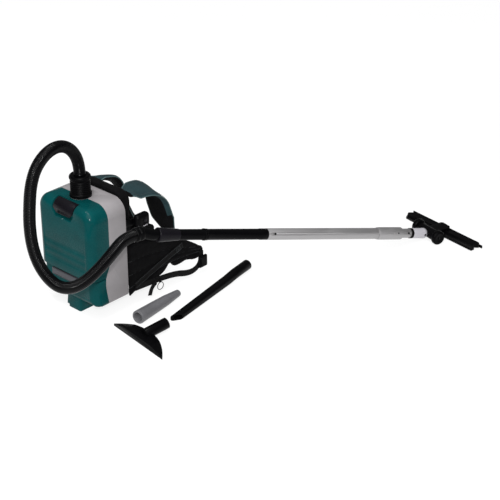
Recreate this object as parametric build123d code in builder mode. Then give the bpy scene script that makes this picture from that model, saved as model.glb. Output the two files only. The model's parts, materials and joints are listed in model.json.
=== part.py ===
from build123d import *
import math
import os

# Backpack vacuum cleaner: battery unit on a padded harness, flexible hose, telescopic
# wand, floor head and three loose nozzles.  Millimetres, +Z up.  The origin is on the
# floor under the hose port, -Y is the front of the unit and +Y is the wearer's side.

# ---------------------------------------------------------------- driving sizes: unit
UNIT_W = 230.0
HALF_W = UNIT_W / 2
TOP_Z = 354.0
BAY_Z = 43.0            # underside of the battery bays
FRONT_Y = -72.0         # face of the dust cover
BASE_FRONT_Y = -64.0    # face of the lower housing
SPLIT_Y = -3.0          # joint between dust cover and main housing
BACK_Y = 63.0
SHOULDER_R = 42.0
FRONT_R = 28.0
WALL = 3.0
COVER_Z = 134.0         # lower edge of the dust cover
BASE_TOP_Z = 130.5
PORT_R = 31.5           # disc around the hose port
HINGE_Y, HINGE_Z = -66.0, 137.0
PIN_R, LATCH_PIN_R = 2.5, 1.5
MOTOR_Y = 8.0
GAP = 0.4

# ------------------------------------------------------------- driving sizes: hose, wand
HOSE_R, HOSE_BORE_R = 17.5, 15.0
PIPE_R, PIPE_BORE_R = 15.8, 13.6
RUN_FIT = 0.05          # radial clearance of a running fit
CUFF_TOP_Z = 419.0
GRIP = Vector(235, 68, 283)          # wand axis, upper end
BALL = Vector(481, 996, 24)          # centre of the ball at the lower end
WAND_DIR = (BALL - GRIP).normalized()
WAND_LENGTH = (BALL - GRIP).length
WAND_FACE = Vector(0.917, -0.138, 0.375)
WAND = Plane(origin=GRIP, x_dir=WAND_FACE - WAND_DIR * WAND_FACE.dot(WAND_DIR), z_dir=WAND_DIR)
CUFF_DIR = Vector(0.12, 0.99, -0.04).normalized()
CUFF_LENGTH = 26.0
PIPE_START = Vector(220, 26, 299)    # outer end of the hose's swivel cuff
HOSE_END = PIPE_START - CUFF_DIR * CUFF_LENGTH
CUFF = Plane(origin=HOSE_END, z_dir=CUFF_DIR)

HOSE_ROUTE = [
    (0, 0, CUFF_TOP_Z), (0, 0, 455), (4, -26, 504), (11, -70, 534), (20, -125, 537),
    (29, -176, 511), (34, -203, 466), (36, -214, 412), (38, -221, 354), (45, -223, 295),
    (64, -222, 245), (97, -219, 210), (140, -214, 193), (183, -200, 202),
    (210, -172, 226), (222, -128, 257), (219, -80, 281), (212.8, -33.5, 301.4),
    tuple(HOSE_END),
]

# ------------------------------------------------------------ driving sizes: floor head
NECK_DIR = Vector(WAND_DIR.X, WAND_DIR.Y, 0).normalized()
NECK_X = Vector(NECK_DIR.Y, -NECK_DIR.X, 0)
WHEEL_R = 23.0
WHEEL_REACH = 24.0      # from the ball to the wheel axle
PIVOT_REACH = 60.0      # from the wheel axle to the swivel pivot
NECK_AT = Vector(BALL.X, BALL.Y, 0) + NECK_DIR * WHEEL_REACH
NECK = Plane(origin=NECK_AT, x_dir=NECK_X, z_dir=(0, 0, 1))
HEAD_YAW = -8.4
HEAD_X = Vector(math.cos(math.radians(HEAD_YAW)), math.sin(math.radians(HEAD_YAW)), 0)
HEAD = Plane(origin=NECK_AT + NECK_DIR * PIVOT_REACH, x_dir=HEAD_X, z_dir=(0, 0, 1))
HEAD_LENGTH = 292.0

os.makedirs("parts", exist_ok=True)


def finish(piece, label):
    """Names a finished piece and writes it to its own file."""
    piece.part.label = label
    export_step(piece.part, f"parts/{label}.step")


def side_plane(plane):
    """The plane across a local frame: its normal runs along the frame's x."""
    return Plane(origin=plane.origin, x_dir=plane.y_dir, z_dir=plane.x_dir)


def box_between(low, high, corner=0.0):
    """A box given by two opposite corners, its edges rounded by corner."""
    size = [b - a for a, b in zip(low, high)]
    middle = [(a + b) / 2 for a, b in zip(low, high)]
    with BuildPart() as block:
        with Locations(tuple(middle)):
            Box(*size)
        if corner:
            fillet(block.edges(), corner)
    return block.part


def tube_along(plane, start, length, outer, inner=0.0):
    """A round bar or tube along the z of a plane."""
    with BuildPart() as piece:
        with BuildSketch(plane.offset(start)):
            Circle(outer)
            if inner:
                Circle(inner, mode=Mode.SUBTRACT)
        extrude(amount=length)
    return piece.part


def turned(plane, outline):
    """A solid turned about the z of a plane from (height, radius) points."""
    profile = Plane(origin=plane.origin, x_dir=plane.x_dir, z_dir=-plane.y_dir)
    with BuildPart() as piece:
        with BuildSketch(profile):
            with BuildLine():
                Polyline(*[(radius, height) for height, radius in outline], close=True)
            make_face()
        revolve(axis=Axis(plane.origin, plane.z_dir))
    return piece.part


def unit_form(inset, y_front, y_back, z_low, z_high, front_r=0.0, low_r=0.0):
    """The unit's rounded block between two planes, shrunk all round by inset."""
    round_top = z_high > TOP_Z - SHOULDER_R
    with BuildPart() as form:
        with BuildSketch(Plane.XZ.offset(-y_back)) as face:
            with Locations((0, (z_low + z_high) / 2)):
                Rectangle(UNIT_W - 2 * inset, z_high - z_low)
            if round_top:
                fillet(face.vertices().sort_by(Axis.Y)[2:], SHOULDER_R - inset)
            if low_r:
                fillet(face.vertices().sort_by(Axis.Y)[:2], low_r)
        extrude(amount=y_back - y_front)
        if front_r:
            rim = form.faces().sort_by(Axis.Y)[0].edges().sort_by(Axis.Z)
            ends = 1 if round_top else 0
            keep = rim[1:] if ends else rim.filter_by(Axis.Z)
            fillet(keep, front_r)
    return form.part


def behind_seam(gap):
    """All space behind the wavy seam between the teal front and the grey housing."""
    with BuildPart() as region:
        with BuildSketch(Plane.YZ.offset(-HALF_W - 5)):
            with BuildLine():
                seam = Spline((-12 - gap, BAY_Z - 5), (-19 - gap, 82), (-22 - gap, 120),
                              (-13 - gap, 152), (SPLIT_Y - gap, 180),
                              tangents=[(-0.1, 1), (0, 1)])
                Polyline(seam @ 1, (SPLIT_Y - gap, TOP_Z + 5), (BACK_Y + 5, TOP_Z + 5),
                         (BACK_Y + 5, BAY_Z - 5), seam @ 0)
            make_face()
        extrude(amount=UNIT_W + 10)
    return region.part


def swept_band(points, radii, width, thickness, corner):
    """A flat band swept along a bent route that lies in a plane of constant x."""
    with BuildPart() as band:
        with BuildLine() as route:
            FilletPolyline(*points, radius=radii)
        path = route.wire()
        with BuildSketch(Plane(origin=path @ 0, x_dir=(1, 0, 0), z_dir=path % 0)):
            RectangleRounded(width, thickness, corner)
        sweep(path=path)
    return band.part


def bend_radii(points):
    """Largest arc at each corner: 0.45 of the shorter run over the tangent of half the turn."""
    corners = [Vector(*p) for p in points]
    radii = []
    for before, here, after in zip(corners, corners[1:], corners[2:]):
        arrive, leave = here - before, after - here
        half_turn = math.radians(arrive.get_angle(leave)) / 2
        radii.append(0.45 * min(arrive.length, leave.length) / math.tan(half_turn))
    return radii


# ---------------------------------------------------------------------------- housings
SCREW_SPOTS = [(x, z) for x in (-70, 70) for z in (160, 240, 320)]
BAY_X = (50.0, 111.0)
BAY_Y = (-60.0, 52.0)

with BuildPart() as main_housing:
    add(unit_form(0, -30, BACK_Y, BAY_Z, TOP_Z, low_r=14))
    add(unit_form(WALL, -31, BACK_Y - WALL, BAY_Z + WALL, TOP_Z - WALL, low_r=11),
        mode=Mode.SUBTRACT)
    add(behind_seam(0), mode=Mode.INTERSECT)
    add(box_between((-HALF_W + 2, SPLIT_Y, 128), (HALF_W - 2, BACK_Y - 2, 131)))
    add(tube_along(Plane.XY, TOP_Z - 8, 8, PORT_R))
    with Locations((0, 0, TOP_Z - 5)):
        Cylinder(22.2, 40, mode=Mode.SUBTRACT)
    with Locations((0, MOTOR_Y, 129)):
        Cylinder(24, 12, mode=Mode.SUBTRACT)
    for side in (-1, 1):
        low_x, high_x = sorted((side * BAY_X[0], side * BAY_X[1]))
        add(box_between((low_x, BAY_Y[0], BAY_Z - 2), (high_x, BAY_Y[1], BAY_Z + 6)),
            mode=Mode.SUBTRACT)
    with Locations(*[Location((x, BACK_Y - 4, z), (90, 0, 0)) for x, z in SCREW_SPOTS]):
        Cylinder(2, 12, mode=Mode.SUBTRACT)
finish(main_housing, "main_housing")

NOTCH_X = 80.5
GRILLE_HALF = 68.0
with BuildPart() as base_housing:
    add(unit_form(0, BASE_FRONT_Y, 0, BAY_Z, BASE_TOP_Z, FRONT_R, low_r=14))
    add(unit_form(WALL, BASE_FRONT_Y + WALL, 1, BAY_Z + WALL, BASE_TOP_Z - WALL,
                  FRONT_R - WALL, low_r=11), mode=Mode.SUBTRACT)
    add(behind_seam(GAP), mode=Mode.SUBTRACT)
    with BuildSketch(Plane.XZ.offset(50)):
        with Locations((0, 29.5)):
            Trapezoid(58, 36, 82)
    extrude(amount=-36.5)
    with BuildSketch(Plane.XY):
        with Locations((0, -20.5)):
            RectangleRounded(54, 57, 8)
    extrude(amount=BAY_Z - GAP)
    chamfer(base_housing.faces().sort_by(Axis.Z)[0].edges(), 2.5)
    with Locations((0, -20.5, 27)):
        Box(44, 46, 47, mode=Mode.SUBTRACT)
    for side in (-1, 1):
        low_x, high_x = sorted((side * BAY_X[0], side * BAY_X[1]))
        add(box_between((low_x, BAY_Y[0], BAY_Z - 2), (high_x, 2, BAY_Z + 6)),
            mode=Mode.SUBTRACT)
        with BuildSketch(Plane.XZ.offset(-BASE_FRONT_Y + 1)):
            with Locations((side * NOTCH_X, BAY_Z)):
                RectangleRounded(34, 28, 5)
        extrude(amount=-20, mode=Mode.SUBTRACT)
        for ear in (61.5, 78.5):
            add(box_between((side * ear - 3.5, -68, BASE_TOP_Z - 1),
                            (side * ear + 3.5, -62, 141)))
    with Locations(Location((0, HINGE_Y, HINGE_Z), (0, 90, 0))):
        Cylinder(PIN_R, 164, mode=Mode.SUBTRACT)
    add(box_between((-GRILLE_HALF, -75, 104), (GRILLE_HALF, -55, 126)), mode=Mode.SUBTRACT)
finish(base_housing, "base_housing")

with BuildPart() as exhaust_grille:
    add(box_between((-GRILLE_HALF + GAP, -70, 104 + GAP), (GRILLE_HALF - GAP, -60.5, 125.6)))
    fillet(exhaust_grille.edges().filter_by(Axis.Z).sort_by(Axis.Y)[:2], 5)
    chamfer(exhaust_grille.faces().sort_by(Axis.Y)[0].edges(), 1.6)
    with Locations(*[(x, -66, 107.6) for x in (-42, 0, 42)]):
        Box(38, 20, 1.8, mode=Mode.SUBTRACT)
finish(exhaust_grille, "exhaust_grille")

with BuildPart() as chamber_seal:
    add(unit_form(WALL + 0.2, -2.6, 3.4, 184, TOP_Z - WALL - 0.2))
    add(unit_form(WALL + 4, -3, 4, 183, TOP_Z - WALL - 4), mode=Mode.SUBTRACT)
    with Locations((0, 0, TOP_Z - 10)):
        Cylinder(PORT_R + 0.5, 30, mode=Mode.SUBTRACT)
finish(chamber_seal, "chamber_seal")

# -------------------------------------------------------------------------- dust cover
POCKET_X = 45.0
POCKET_Y, POCKET_Z = -40.0, 303.0
POCKET_DEPTH = 12.0
LATCH_Y, LATCH_Z = -45.5, 349.0
RIB_BANDS = (216, 191, 166)


def latch_outline(half, z_low, z_corner):
    """Prism with the latch's outline: straight sides and a narrowing lower end."""
    with BuildPart() as prism:
        with BuildSketch(Plane.XZ.offset(-POCKET_Y)):
            with BuildLine():
                Polyline((-half, 360), (-half, z_corner), (-half + 13, z_low),
                         (half - 13, z_low), (half, z_corner), (half, 360), close=True)
            make_face()
        extrude(amount=40)
    return prism.part


with BuildPart() as dust_cover:
    add(unit_form(0, FRONT_Y, 0, COVER_Z, TOP_Z, FRONT_R, low_r=0))
    add(unit_form(WALL, FRONT_Y + WALL, 1, COVER_Z - 5, TOP_Z - WALL, FRONT_R - WALL),
        mode=Mode.SUBTRACT)
    with BuildPart(mode=Mode.PRIVATE) as pocket:
        add(unit_form(0, FRONT_Y, 0, COVER_Z, TOP_Z, FRONT_R))
        add(box_between((-POCKET_X - 3, -80, POCKET_Z - 3), (POCKET_X + 3, POCKET_Y + 3, 360)),
            mode=Mode.INTERSECT)
        add(unit_form(POCKET_DEPTH + WALL, FRONT_Y + POCKET_DEPTH + WALL, 1, COVER_Z - 5,
                      TOP_Z - POCKET_DEPTH - WALL, FRONT_R - POCKET_DEPTH - WALL),
            mode=Mode.SUBTRACT)
    add(pocket.part)
    with BuildPart(mode=Mode.PRIVATE) as hollow:
        add(latch_outline(POCKET_X, POCKET_Z, POCKET_Z + 19))
        add(unit_form(POCKET_DEPTH, FRONT_Y + POCKET_DEPTH, 1, COVER_Z - 5,
                      TOP_Z - POCKET_DEPTH, FRONT_R - POCKET_DEPTH), mode=Mode.SUBTRACT)
    add(hollow.part, mode=Mode.SUBTRACT)
    add(behind_seam(GAP), mode=Mode.SUBTRACT)
    with Locations((0, 0, TOP_Z)):
        Cylinder(PORT_R + 1, 60, mode=Mode.SUBTRACT)
    for band_z in RIB_BANDS:
        with BuildSketch(Plane.XZ.offset(-FRONT_Y + 1)):
            with Locations((0, band_z)):
                RectangleRounded(176, 13, 6)
        extrude(amount=-2, mode=Mode.SUBTRACT)
    for side in (-1, 1):
        low_x, high_x = sorted((side * 57, side * 83))
        add(box_between((low_x, FRONT_Y + 1, COVER_Z - 1), (high_x, -60, 143)),
            mode=Mode.SUBTRACT)
        low_x, high_x = sorted((side * 65.5, side * 74.5))
        add(box_between((low_x, FRONT_Y + 0.5, COVER_Z), (high_x, -62, 141)))
    with Locations(Location((0, HINGE_Y, HINGE_Z), (0, 90, 0))):
        Cylinder(PIN_R + RUN_FIT, 150, mode=Mode.SUBTRACT)
    with Locations(Location((0, LATCH_Y, LATCH_Z), (0, 90, 0))):
        Cylinder(LATCH_PIN_R + RUN_FIT, 2 * POCKET_X + 5, mode=Mode.SUBTRACT)
finish(dust_cover, "dust_cover")

with BuildPart() as hinge_pins:
    with Locations(*[Location((side * 70, HINGE_Y, HINGE_Z), (0, 90, 0)) for side in (-1, 1)]):
        Cylinder(PIN_R, 24)
finish(hinge_pins, "hinge_pins")

LATCH_HALF = 41.0
with BuildPart() as cover_latch:
    add(unit_form(0.5, FRONT_Y + 0.5, 0, COVER_Z, TOP_Z - 0.5, FRONT_R - 0.5))
    add(unit_form(5, FRONT_Y + 5, 1, COVER_Z - 5, TOP_Z - 5, FRONT_R - 5), mode=Mode.SUBTRACT)
    add(latch_outline(LATCH_HALF, 316, 330), mode=Mode.INTERSECT)
    add(box_between((-LATCH_HALF, -80, 310), (LATCH_HALF, LATCH_Y, 360)), mode=Mode.INTERSECT)
    with Locations(Location((0, LATCH_Y, LATCH_Z), (0, 90, 0))):
        Cylinder(4.2, 2 * LATCH_HALF)
    with Locations(Location((0, LATCH_Y, LATCH_Z), (0, 90, 0))):
        Cylinder(LATCH_PIN_R, 2 * POCKET_X + 4)
finish(cover_latch, "cover_latch")

# ---------------------------------------------------------------------- inside the unit
with BuildPart() as dust_bag:
    add(box_between((-92, -48, 152), (92, 48, 320), 18))
    add(tube_along(Plane.XY, 318, 10, 32))
    with Locations((0, 0, 322)):
        Cylinder(22.6, 30, mode=Mode.SUBTRACT)
finish(dust_bag, "dust_bag")

with BuildPart() as filter_frame:
    add(box_between((-86, -50, 131.3), (86, 50, 146)))
    fillet(filter_frame.edges().filter_by(Axis.Z), 8)
    add(box_between((-76, -40, 134), (76, 40, 150)), mode=Mode.SUBTRACT)
    with Locations((0, MOTOR_Y, 132)):
        Cylinder(22, 12, mode=Mode.SUBTRACT)
finish(filter_frame, "filter_frame")

with BuildPart() as hepa_filter:
    add(box_between((-75.5, -39.5, 134), (75.5, 39.5, 149)))
    with GridLocations(10, 1, 15, 1):
        with Locations((0, 0, 147)):
            Box(4, 74, 8, mode=Mode.SUBTRACT)
finish(hepa_filter, "hepa_filter")

with BuildPart() as motor_housing:
    add(turned(Plane((0, MOTOR_Y, 0)), [(48, 0), (127, 0), (127, 43), (48, 43)]))
    add(turned(Plane((0, MOTOR_Y, 0)), [(51, 0), (124, 0), (124, 40), (51, 40)]),
        mode=Mode.SUBTRACT)
    with Locations((0, MOTOR_Y, 126)):
        Cylinder(20, 10, mode=Mode.SUBTRACT)
    with Locations((0, MOTOR_Y, 50)):
        Cylinder(8.2, 10, mode=Mode.SUBTRACT)
    with Locations((0, MOTOR_Y, 80)):
        with PolarLocations(42, 8):
            Box(10, 10, 26, mode=Mode.SUBTRACT)
finish(motor_housing, "motor_housing")

with BuildPart() as motor:
    add(turned(Plane((0, MOTOR_Y, 0)), [(51, 4.05), (104, 4.05), (104, 26), (98, 31),
                                        (57, 31), (51, 26)]))
    with Locations((0, MOTOR_Y, 78)):
        with PolarLocations(31, 12):
            Box(4, 3, 30, mode=Mode.SUBTRACT)
finish(motor, "motor")

with BuildPart() as motor_shaft:
    with Locations((0, MOTOR_Y, 85.5)):
        Cylinder(4, 71)
finish(motor_shaft, "motor_shaft")

with BuildPart() as impeller:
    with Locations((0, MOTOR_Y, 107.5)):
        Cylinder(36, 3)
    with Locations((0, MOTOR_Y, 113)):
        Cylinder(9, 14)
    with Locations((0, MOTOR_Y, 112.5)):
        with PolarLocations(21, 9):
            Box(28, 1.6, 9, rotation=(0, 0, 28))
    with Locations((0, MOTOR_Y, 113)):
        Cylinder(4, 20, mode=Mode.SUBTRACT)
finish(impeller, "impeller")

with BuildPart() as control_board:
    add(box_between((-45, 55, 56), (45, 56.6, 118)))
    for chip_x, chip_z, chip in ((-25, 75, 16), (5, 96, 12), (26, 72, 18)):
        add(box_between((chip_x - chip / 2, 53.4, chip_z - chip / 2),
                        (chip_x + chip / 2, 55.2, chip_z + chip / 2)))
finish(control_board, "control_board")

for side, name in ((-1, "left"), (1, "right")):
    with BuildPart() as battery:
        add(box_between((side * 80.5 - 27, -46, 45), (side * 80.5 + 27, 46, 122)))
        fillet(battery.edges().filter_by(Axis.Z), 8)
        fillet(battery.faces().sort_by(Axis.Z)[0].edges(), 3)
        with Locations((side * 80.5, -44, 52)):
            Box(26.6, 12, 9.6, mode=Mode.SUBTRACT)
        for groove_z in (66, 76, 86):
            with Locations((side * 80.5, -46, groove_z)):
                Box(36, 2, 3, mode=Mode.SUBTRACT)
    finish(battery, f"battery_{name}")
    with BuildPart() as battery_button:
        add(box_between((side * 80.5 - 13, -49, 47.5), (side * 80.5 + 13, -42, 56.5), 1.2))
    finish(battery_button, f"battery_button_{name}")

# ------------------------------------------------------------------------------ harness
PAD_TOP_Z = 366.0
PAD_FACE_Y = 112.0
with BuildPart() as back_frame:
    with BuildSketch(Plane.XZ.offset(-70)):
        with Locations((0, 199)):
            RectangleRounded(190, 306, 30)
        with Locations((0, 50)):
            Rectangle(90, 100)
        for window_z in (110, 200, 285):
            with Locations((0, window_z)):
                RectangleRounded(110, 50, 14, mode=Mode.SUBTRACT)
    extrude(amount=6.6)
    add(box_between((-45, 63.4, 0), (45, 92, 8)))
    fillet(back_frame.edges().filter_by(Axis.Z).sort_by(Axis.Y)[-2:], 8)
    for x, z in SCREW_SPOTS:
        with Locations(Location((x, 66, z), (90, 0, 0))):
            Cylinder(2, 12, mode=Mode.SUBTRACT)
        with Locations(Location((x, 69, z), (90, 0, 0))):
            Cylinder(4.2, 4, mode=Mode.SUBTRACT)
finish(back_frame, "back_frame")

with BuildPart() as housing_screws:
    for x, z in SCREW_SPOTS:
        with Locations(Location((x, 63, z), (90, 0, 0))):
            Cylinder(1.95, 9)
        with Locations(Location((x, 68.4, z), (90, 0, 0))):
            Cylinder(4, 2.4)
finish(housing_screws, "housing_screws")

with BuildPart() as back_pad:
    with BuildSketch(Plane.XZ.offset(-PAD_FACE_Y)):
        with Locations((0, (40 + PAD_TOP_Z) / 2)):
            RectangleRounded(188, PAD_TOP_Z - 40, 38)
    extrude(amount=PAD_FACE_Y - 70.5)
    fillet(back_pad.faces().sort_by(Axis.Y)[-1].edges(), 12)
finish(back_pad, "back_pad")

STRAP_X = 75.0
STRAP_ROUTES = {
    "right": [(114, 345), (158, 346), (194, 331), (218, 300), (232, 262), (247, 216), (270, 168)],
    "left": [(114, 343), (158, 333), (190, 316), (210, 288), (222, 254), (236, 212), (262, 168)],
}
for side, name in ((-1, "left"), (1, "right")):
    route = [(side * STRAP_X, y, z) for y, z in STRAP_ROUTES[name]]
    with BuildPart() as shoulder_strap:
        add(swept_band(route, bend_radii(route), 68, 16, 6))
    finish(shoulder_strap, f"shoulder_strap_{name}")
    tip = route[-1]
    tail = [(side * STRAP_X, tip[1] + 0.6, tip[2] - 1.5), (side * STRAP_X, tip[1] + 18, 122),
            (side * STRAP_X, tip[1] - 22, 90), (side * STRAP_X, 190, 66), (side * STRAP_X, 113.4, 54)]
    with BuildPart() as strap_webbing:
        add(swept_band(tail, bend_radii(tail), 25, 2.4, 0.8))
    finish(strap_webbing, f"strap_webbing_{name}")

with BuildPart() as strap_adjusters:
    for side, name in ((-1, "left"), (1, "right")):
        y, z = STRAP_ROUTES[name][-1]
        lean = Vector(0, 17.4, -(z - 1.5 - 122)).normalized()
        middle = Vector(side * STRAP_X, y + 0.6, z - 1.5) + lean * 14.5
        lock = Plane(origin=middle, x_dir=(1, 0, 0), z_dir=lean)
        with BuildSketch(lock.offset(-12)):
            RectangleRounded(34, 8, 2)
            Rectangle(27, 3.6, mode=Mode.SUBTRACT)
        extrude(amount=24)
        with BuildSketch(Plane(origin=middle, x_dir=(1, 0, 0), z_dir=lock.y_dir).offset(-6)):
            with Locations((0, -6), (0, 6)):
                Rectangle(24, 5)
        extrude(amount=12, mode=Mode.SUBTRACT)
finish(strap_adjusters, "strap_adjusters")

WING_X = (98.0, 114.0)
BELT_RUNS = (
    [(90, 66), (134, 80), (199, 101), (285, 126)],
    [(90, 58), (160, 53), (250, 42), (308, 20), (345, 23), (364, 46), (363, 74)],
)
RING_Y, RING_Z, RING_R = 186.0, 28.0, 12.0
for side, name in ((-1, "left"), (1, "right")):
    with BuildPart() as waist_wing:
        with BuildSketch(Plane.YZ.offset(side * (WING_X[0] + WING_X[1]) / 2)):
            with BuildLine():
                lower = Spline((66, 30), (130, 43), (200, 50), (222, 62), (240, 74), (252, 62),
                               (262, 57), (316, 58), (352, 50), (372, 56))
                upper = Spline((370, 92), (340, 115), (300, 140), (240, 165), (180, 190),
                               (120, 205), (66, 207))
                ThreePointArc(lower @ 1, (384, 75), upper @ 0)
                Line(upper @ 1, lower @ 0)
            make_face()
        extrude(amount=(WING_X[1] - WING_X[0]) / 2, both=True)
        rims = waist_wing.edges().filter_by(Axis.X, reverse=True).filter_by(Axis.Z, reverse=True)
        fillet(rims, 4)
    finish(waist_wing, f"waist_wing_{name}")

    with BuildPart() as belt_webbing:
        with BuildSketch(Plane.YZ.offset(side * 115.9)):
            for run in BELT_RUNS:
                with BuildLine():
                    FilletPolyline(*run, radius=bend_radii(run))
                trace(line_width=20)
        extrude(amount=1.3, both=True)
        if name == "right":
            add(box_between((116.8, RING_Y - 4, RING_Z + RING_R - 3.4),
                            (122.6, RING_Y + 4, RING_Z + RING_R + 6)))
            with Locations(Location((120, RING_Y, RING_Z + RING_R), (90, 0, 0))):
                Cylinder(1.9, 12, mode=Mode.SUBTRACT)
    finish(belt_webbing, f"belt_webbing_{name}")

with BuildPart() as buckle_plug:
    add(box_between((-127, 346, 26), (-118, 372, 60), 3))
    with Locations((-123, 351, 43)):
        Box(20, 4, 24, mode=Mode.SUBTRACT)
    for prong_z in (30, 51):
        add(box_between((-125, 370, prong_z), (-120, 390, prong_z + 5), 1.5))
    add(box_between((-124, 370, 41), (-121, 386, 45), 1))
finish(buckle_plug, "buckle_plug")

with BuildPart() as buckle_socket:
    add(box_between((118, 346, 24), (128, 380, 62), 4))
    with Locations((123, 351, 43)):
        Box(20, 4, 24, mode=Mode.SUBTRACT)
    with Locations((123, 374, 43)):
        Box(5.6, 30, 28, mode=Mode.SUBTRACT)
finish(buckle_socket, "buckle_socket")

with BuildPart() as key_ring:
    with Locations(Location((120, RING_Y, RING_Z), (0, 90, 0))):
        Torus(RING_R, 1.1)
finish(key_ring, "key_ring")

with BuildPart() as control_pod:
    add(box_between((101, 98, 246), (127, 150, 290), 12))
    add(box_between((95.3, 64, 254), (99.3, 116, 274)))
    add(box_between((97, 110, 256), (104, 118, 272)))
    with Locations(Location((126, 128, 270), (0, 90, 0))):
        Cylinder(6.3, 5, mode=Mode.SUBTRACT)
finish(control_pod, "control_pod")

with BuildPart() as power_button:
    with Locations(Location((126.6, 128, 270), (0, 90, 0))):
        Cylinder(6, 3.4)
finish(power_button, "power_button")

# --------------------------------------------------------------------------------- hose
with BuildPart() as inlet_port:
    add(turned(Plane.XY, [(328, 19.5), (372, 19.5), (372, 24), (357, 24), (357, 32),
                          (354, 32), (354, 22), (328, 22)]))
finish(inlet_port, "inlet_port")

with BuildPart() as inlet_cuff:
    outline = [(357.2, 24 + RUN_FIT), (374, 24 + RUN_FIT), (374, 14), (CUFF_TOP_Z, 14),
               (CUFF_TOP_Z, 28), (416, 30.5), (408, 30.5), (406, 27.5)]
    for rib_z in range(400, 366, -6):
        outline += [(rib_z + 2, 27.5), (rib_z, 29.5), (rib_z - 2, 29.5), (rib_z - 3.4, 27.5)]
    outline += [(364, 29.5), (363, 32), (358, 32), (357.2, 31)]
    add(turned(Plane.XY, outline))
finish(inlet_cuff, "inlet_cuff")

HOSE_RADII = bend_radii(HOSE_ROUTE)
with BuildPart() as hose:
    with BuildLine() as hose_line:
        FilletPolyline(*HOSE_ROUTE, radius=HOSE_RADII)
    hose_path = hose_line.wire()
    with BuildSketch(Plane(origin=hose_path @ 0, z_dir=hose_path % 0)):
        Circle(HOSE_R)
        Circle(HOSE_BORE_R, mode=Mode.SUBTRACT)
    sweep(path=hose_path)
finish(hose, "hose")
hose_section = math.pi * (HOSE_R ** 2 - HOSE_BORE_R ** 2)
print("hose length", round(hose_path.length), "radii", [round(r) for r in HOSE_RADII])
print("hose volume / (section x length)",
      round(hose.part.volume / (hose_section * hose_path.length), 4))

with BuildPart() as hose_end_cuff:
    add(turned(CUFF, [(0.1, 13.5), (CUFF_LENGTH - 14, 13.5),
                      (CUFF_LENGTH - 14, PIPE_R + RUN_FIT), (CUFF_LENGTH - 6, PIPE_R + RUN_FIT),
                      (CUFF_LENGTH, PIPE_R + 1.5), (CUFF_LENGTH, 19.2), (22, 20.5), (15, 20.5),
                      (13, 19), (9, 19), (7, 20.5), (3, 20.5), (0.1, 19)]))
finish(hose_end_cuff, "hose_end_cuff")

# --------------------------------------------------------------------------------- wand
BEND_AT = GRIP - WAND_DIR * 14
PIPE_END, SPIGOT_END = 163.0, 205.0
UPPER_END = 379.0
LOWER_END = 850.0
COLLAR = (803.0, 902.0)
INNER_START, INNER_END = 575.0, 942.0
TUBE_BUTTON_AT = 401.0
HEAD_BUTTON_AT = 925.0
UPPER_R, LOWER_R, INNER_R = 16.2, 17.3, 14.8

with BuildPart() as handle_pipe:
    pipe_route = [PIPE_START - CUFF_DIR * 13.5, PIPE_START + CUFF_DIR * 2, BEND_AT,
                  GRIP + WAND_DIR * PIPE_END]
    with BuildLine() as pipe_line:
        FilletPolyline(*pipe_route, radius=[34, 60])
    pipe_path = pipe_line.wire()
    with BuildSketch(Plane(origin=pipe_path @ 0, z_dir=pipe_path % 0)):
        Circle(PIPE_R)
        Circle(PIPE_BORE_R, mode=Mode.SUBTRACT)
    sweep(path=pipe_path)
    add(tube_along(WAND, PIPE_END - 7, 6, 17.6, PIPE_R - 1))
    add(tube_along(WAND, PIPE_END - 1, SPIGOT_END - PIPE_END + 1, 14.4, PIPE_BORE_R - 1))
    with Locations(WAND.location * Location((-PIPE_R, 0, 36))):
        Box(12, 8, 22, mode=Mode.SUBTRACT)
finish(handle_pipe, "handle_pipe")

with BuildPart() as suction_ring:
    add(turned(WAND, [(2, PIPE_R + RUN_FIT), (71, PIPE_R + RUN_FIT), (71, 17), (56, 17.6),
                      (12, 20.5), (4, 21), (2, 20)]))
    with Locations(WAND.location * Location((-PIPE_R, 0, 36))):
        Box(20, 8, 22, mode=Mode.SUBTRACT)
finish(suction_ring, "suction_ring")

with BuildPart() as upper_tube:
    add(turned(WAND, [(PIPE_END, 14.5), (UPPER_END + 40, 14.5), (UPPER_END + 40, 15.5),
                      (UPPER_END, 15.5), (UPPER_END, 16.9), (UPPER_END - 24, 16.9),
                      (UPPER_END - 26, UPPER_R), (PIPE_END + 8, UPPER_R),
                      (PIPE_END + 6, 16.9), (PIPE_END, 16.9)]))
    with Locations(WAND.location * Location((15, 0, TUBE_BUTTON_AT), (0, 90, 0))):
        Cylinder(3.1, 8, mode=Mode.SUBTRACT)
finish(upper_tube, "upper_tube")

with BuildPart() as lower_tube:
    add(turned(WAND, [(UPPER_END, 15.6), (LOWER_END - 30, 15.6),
                      (LOWER_END - 30, INNER_R + RUN_FIT), (LOWER_END, INNER_R + RUN_FIT),
                      (LOWER_END, LOWER_R), (UPPER_END, LOWER_R)]))
    with Locations(WAND.location * Location((16, 0, TUBE_BUTTON_AT), (0, 90, 0))):
        Cylinder(3.1, 8, mode=Mode.SUBTRACT)
finish(lower_tube, "lower_tube")

with BuildPart() as tube_button:
    with Locations(WAND.location * Location((16.9, 0, TUBE_BUTTON_AT), (0, 90, 0))):
        Cylinder(3, 4)
finish(tube_button, "tube_button")

with BuildPart() as lock_collar:
    add(turned(WAND, [(COLLAR[0], LOWER_R + RUN_FIT), (LOWER_END + 12, LOWER_R + RUN_FIT),
                      (LOWER_END + 12, INNER_R + 0.3), (COLLAR[1], INNER_R + 0.3),
                      (COLLAR[1], 18), (COLLAR[1] - 3, 19.5), (COLLAR[0] + 8, 19.5),
                      (COLLAR[0], 18.2)]))
    with Locations(WAND.location * Location((19.5, 0, 861), (0, 90, 0))):
        Cylinder(2.2, 2, mode=Mode.SUBTRACT)
finish(lock_collar, "lock_collar")

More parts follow.
